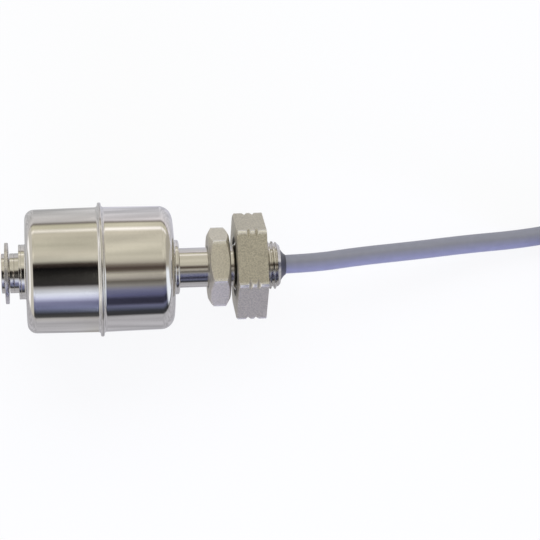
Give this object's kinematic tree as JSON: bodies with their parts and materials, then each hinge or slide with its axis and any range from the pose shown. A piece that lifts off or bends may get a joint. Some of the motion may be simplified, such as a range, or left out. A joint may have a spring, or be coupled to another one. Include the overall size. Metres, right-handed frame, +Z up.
{
  "type": "float level switch",
  "caption": "Small vertical float level switch: a round metal magnet float slides on a clipped stem under a hexagon with a threaded stud and lock nut; a round cable leaves the stud.",
  "frame": {"origin": "on the surface that the switch lies on, under the middle of the switch without its cable", "axes": "+X along the switch from the stem's closed end towards the cable, +Z up from the surface that it lies on, +Y to the left of +X"},
  "size_m": [0.1898, 0.0355, 0.0272],
  "materials": {
    "stainless": "polished",
    "polished_steel": "mirror polished",
    "spring_steel": "satin",
    "nickel_steel": "satin, fine turned and ground grain",
    "potting": "cast resin",
    "silicone": "matt",
    "reed_glass": "clear",
    "reed_alloy": "drawn",
    "copper": "bare",
    "insulation_brown": "extruded",
    "insulation_blue": "extruded",
    "tinned": "tinned",
    "jacket": "extruded, softly satin",
    "nylon": "moulded",
    "ferrite": "pressed ferrite",
    "spacer_plastic": "moulded"
  },
  "bodies": {
    "stem": {"stem_tube": "stainless", "stem_end_plug": "stainless", "retaining_clip": "spring_steel", "hex_body": "nickel_steel", "cable_potting": "potting", "reed_sleeve": "silicone", "reed_glass": "reed_glass", "reed_blade_far": "reed_alloy", "reed_blade_near": "reed_alloy", "crimp_far": "copper", "crimp_near": "copper", "core_short": "insulation_blue", "core_long": "insulation_brown", "conductor_short": "copper", "conductor_return": "copper", "cable_run": "jacket", "cable_hank": "jacket", "hank_tie": "nylon", "cable_tail": "jacket", "core_tail_brown": "insulation_brown", "core_tail_blue": "insulation_blue", "tinned_end_brown": "tinned", "tinned_end_blue": "tinned"},
    "float": {"float_lower_shell": "polished_steel", "float_upper_shell": "polished_steel", "float_inner_tube": "polished_steel", "ring_magnet": "ferrite", "magnet_spacer_lower": "spacer_plastic", "magnet_spacer_upper": "spacer_plastic"},
    "nut": {"lock_nut": "nickel_steel"}
  },
  "joints": [
    {"name": "float_slide", "type": "slide", "parent": "stem", "child": "float", "axis": [0.9951, 0, -0.0985], "range_m": [-0.002, 0.0058]},
    {"name": "lock_nut_travel", "type": "slide", "parent": "stem", "child": "nut", "axis": [0.9951, 0, -0.0985], "range_m": [-0.0011, 0.007]}
  ]
}
